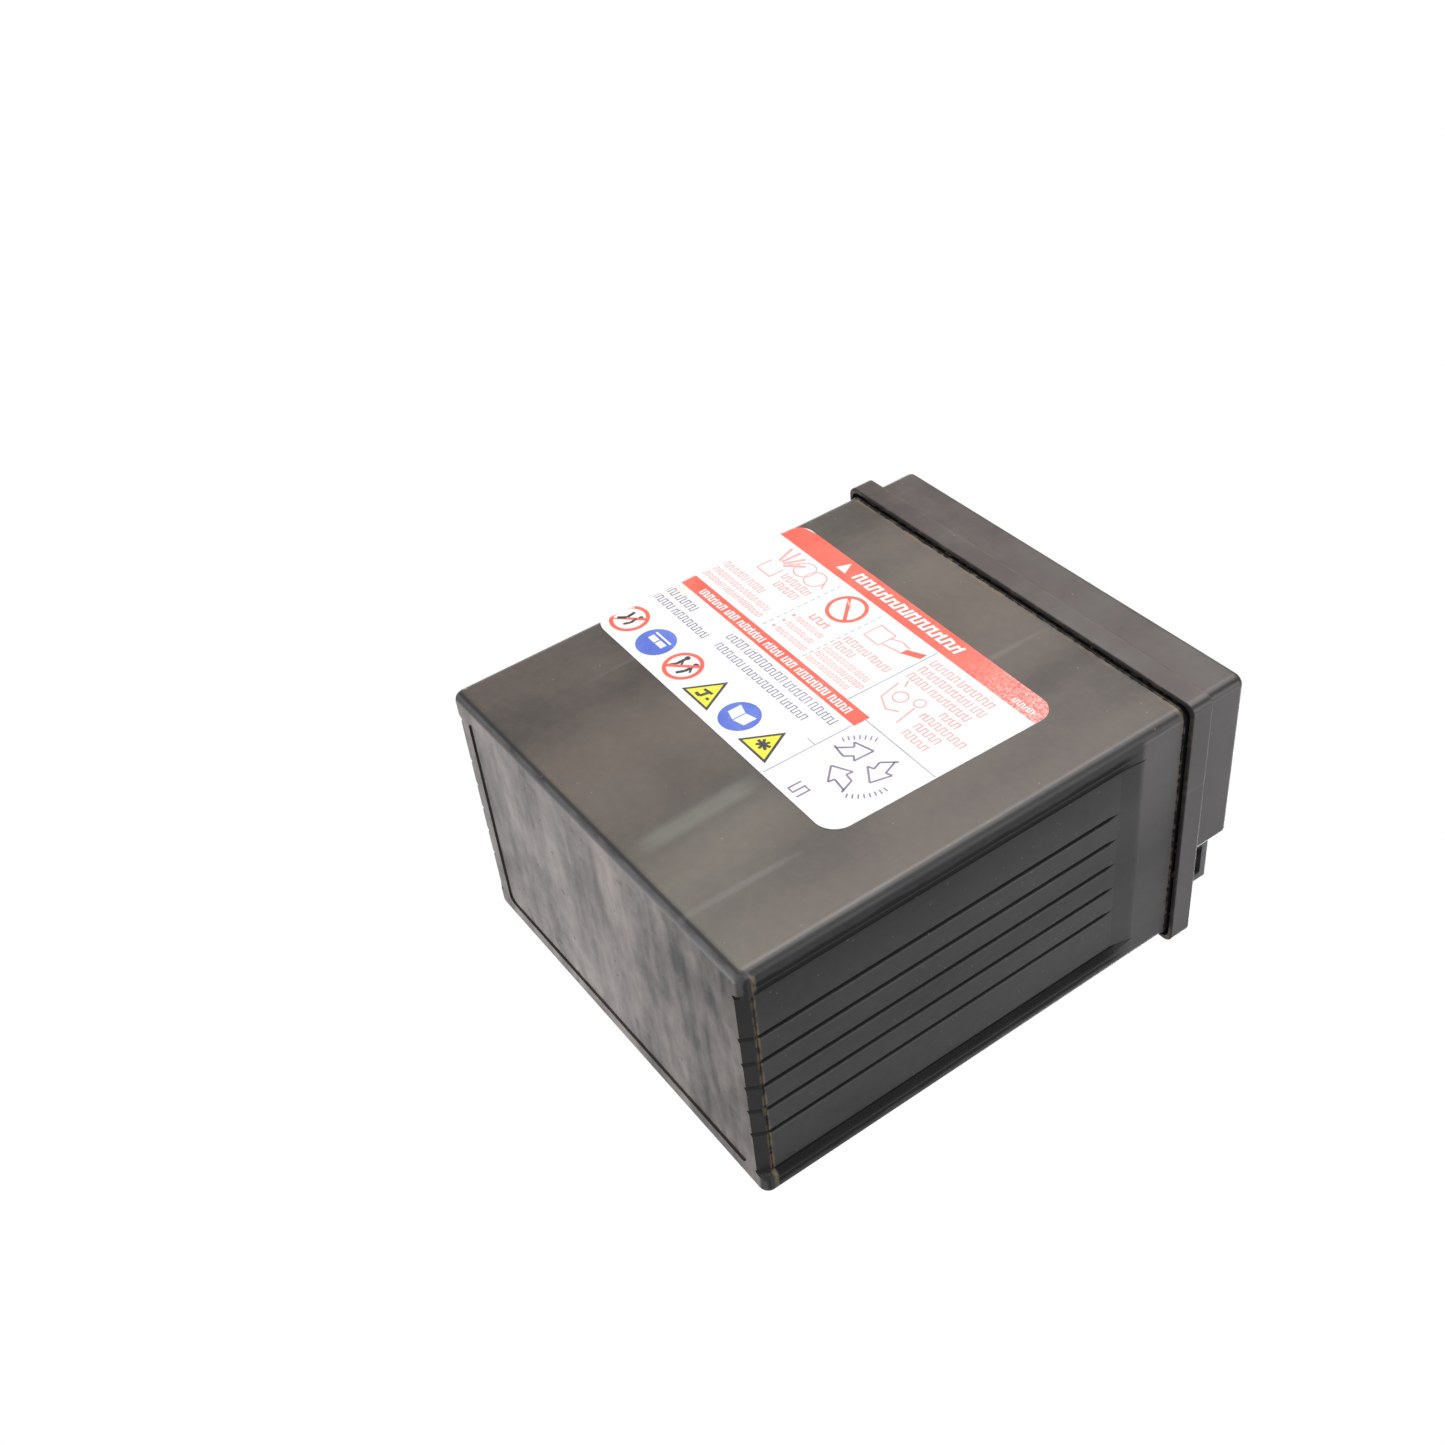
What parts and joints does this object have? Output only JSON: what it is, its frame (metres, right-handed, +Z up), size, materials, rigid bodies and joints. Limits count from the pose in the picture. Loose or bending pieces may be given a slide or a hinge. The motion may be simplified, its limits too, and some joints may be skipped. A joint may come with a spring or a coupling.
{
  "type": "motorcycle battery",
  "caption": "Upright sealed lead-acid motorcycle battery with ribbed narrow ends, overhanging lid, plug strip and bolted corner terminals.",
  "frame": {"origin": "centre of the underside, the face it stands on", "axes": "+Z up towards the terminals, +X along the row of cells towards the positive terminal, +Y towards the labelled back, away from the terminals"},
  "size_m": [0.114, 0.071, 0.1318],
  "materials": {
    "case_plastic": "moulded polypropylene, dusty and lightly scuffed",
    "lid_plastic": "moulded polypropylene",
    "plug_plastic": "moulded black polypropylene",
    "rubber": "EPDM rubber",
    "lead": "cast lead, dull oxide",
    "zinc_steel": "zinc-plated steel",
    "positive_plate": "lead dioxide paste",
    "negative_plate": "sponge lead paste",
    "glass_mat": "absorbent glass mat",
    "porous_disc": "sintered porous disc",
    "label_film": "printed plastic film"
  },
  "bodies": {
    "battery": {"case": "case_plastic", "lid": "lid_plastic", "cell_1_positive_plates": "positive_plate", "cell_1_negative_plates": "negative_plate", "cell_1_separators": "glass_mat", "cell_2_positive_plates": "positive_plate", "cell_2_negative_plates": "negative_plate", "cell_2_separators": "glass_mat", "cell_3_positive_plates": "positive_plate", "cell_3_negative_plates": "negative_plate", "cell_3_separators": "glass_mat", "cell_4_positive_plates": "positive_plate", "cell_4_negative_plates": "negative_plate", "cell_4_separators": "glass_mat", "cell_5_positive_plates": "positive_plate", "cell_5_negative_plates": "negative_plate", "cell_5_separators": "glass_mat", "cell_6_positive_plates": "positive_plate", "cell_6_negative_plates": "negative_plate", "cell_6_separators": "glass_mat", "cell_link_1": "lead", "cell_link_2": "lead", "cell_link_3": "lead", "cell_link_4": "lead", "cell_link_5": "lead", "strap_negative": "lead", "strap_positive": "lead", "terminal_negative": "lead", "terminal_positive": "lead", "post_seal_negative": "rubber", "post_seal_positive": "rubber", "nut_negative": "zinc_steel", "nut_positive": "zinc_steel", "flame_arrestor": "porous_disc", "vent_cover": "plug_plastic", "back_label": "label_film", "front_label": "label_film"},
    "plug_strip_body": {"plug_strip": "plug_plastic", "plug_o_rings": "rubber"},
    "relief_valve_body": {"relief_valve": "rubber"},
    "washers_negative_body": {"washer_negative": "zinc_steel", "spring_washer_negative": "zinc_steel"},
    "bolt_negative_body": {"bolt_negative": "zinc_steel"},
    "washers_positive_body": {"washer_positive": "zinc_steel", "spring_washer_positive": "zinc_steel"},
    "bolt_positive_body": {"bolt_positive": "zinc_steel"}
  },
  "joints": [
    {"name": "plug_strip_lift", "type": "slide", "parent": "battery", "child": "plug_strip_body", "axis": [0, 0, 1], "range_m": [0, 0.014]},
    {"name": "relief_valve_lift", "type": "slide", "parent": "battery", "child": "relief_valve_body", "axis": [0, 0, 1], "range_m": [0, 0.0006], "stiffness_N_per_m": 600, "springref_m": -0.0009},
    {"name": "bolt_negative_travel", "type": "slide", "parent": "battery", "child": "washers_negative_body", "axis": [0, -1, 0], "range_m": [0, 0.0072]},
    {"name": "bolt_negative_turn", "type": "hinge", "parent": "washers_negative_body", "child": "bolt_negative_body", "pos_m": [-0.0448, -0.0318, 0.1255], "axis": [0, -1, 0], "range_deg": [0, 3242]},
    {"name": "bolt_positive_travel", "type": "slide", "parent": "battery", "child": "washers_positive_body", "axis": [0, -1, 0], "range_m": [0, 0.0072]},
    {"name": "bolt_positive_turn", "type": "hinge", "parent": "washers_positive_body", "child": "bolt_positive_body", "pos_m": [0.0448, -0.0318, 0.1255], "axis": [0, -1, 0], "range_deg": [0, 3242]}
  ],
  "couplings": [
    {"joint": "bolt_negative_turn", "follows": "bolt_negative_travel", "rad_per_m": 7854},
    {"joint": "bolt_positive_turn", "follows": "bolt_positive_travel", "rad_per_m": 7854}
  ]
}
